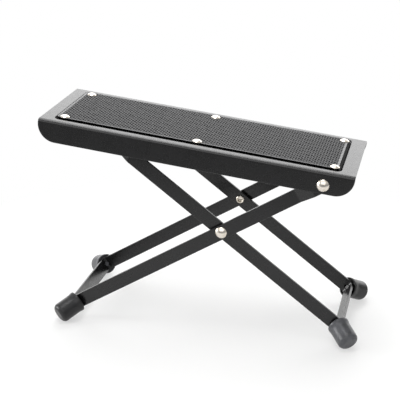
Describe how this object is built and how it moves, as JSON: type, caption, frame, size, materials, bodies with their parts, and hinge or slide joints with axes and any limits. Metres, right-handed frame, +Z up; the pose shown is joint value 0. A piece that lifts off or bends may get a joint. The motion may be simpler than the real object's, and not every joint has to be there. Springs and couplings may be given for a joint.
{
  "type": "folding footstool",
  "caption": "Folding footstool: a tilted flanged steel plate with a rubber mat, on a height-adjustable scissor of two U-shaped strap frames with rubber feet.",
  "frame": {"origin": "on the floor, under the middle of the bounding box", "axes": "+X along the plate towards its lower, hinged end, +Y across the plate to its back, +Z up"},
  "size_m": [0.3074, 0.139, 0.2069],
  "materials": {
    "black_steel": "satin black powder coat",
    "mat_rubber": "matte, fine square pattern",
    "foot_rubber": "matte",
    "nickel_plate": "bright nickel plate",
    "zinc_plate": "zinc plate"
  },
  "bodies": {
    "outer_frame": {"outer_frame": "black_steel", "outer_foot_front": "foot_rubber", "outer_foot_back": "foot_rubber", "scissor_rivet_front": "nickel_plate", "scissor_rivet_back": "nickel_plate", "scissor_washer_front": "zinc_plate", "scissor_washer_back": "zinc_plate"},
    "inner_frame": {"inner_frame": "black_steel", "inner_foot_front": "foot_rubber", "inner_foot_back": "foot_rubber", "lock_rod": "zinc_plate"},
    "top_plate": {"top_plate": "black_steel", "rubber_mat": "mat_rubber", "notch_rail": "black_steel", "pivot_rivet_front": "nickel_plate", "pivot_rivet_back": "nickel_plate", "mat_rivet_front_left": "nickel_plate", "mat_rivet_front_middle": "nickel_plate", "mat_rivet_front_right": "nickel_plate", "mat_rivet_back_left": "nickel_plate", "mat_rivet_back_middle": "nickel_plate", "mat_rivet_back_right": "nickel_plate"}
  },
  "joints": [
    {"name": "scissor", "type": "hinge", "parent": "outer_frame", "child": "inner_frame", "pos_m": [0.021, 0, 0.1043], "axis": [0, -1, 0], "range_deg": [0, 68.5]},
    {"name": "plate_fold", "type": "hinge", "parent": "outer_frame", "child": "top_plate", "pos_m": [0.11587, 0, 0.16135], "axis": [0, -1, 0], "range_deg": [0, 37.5]}
  ],
  "couplings": [
    {"joint": "plate_fold", "follows": "scissor", "ratio": 0.545}
  ]
}
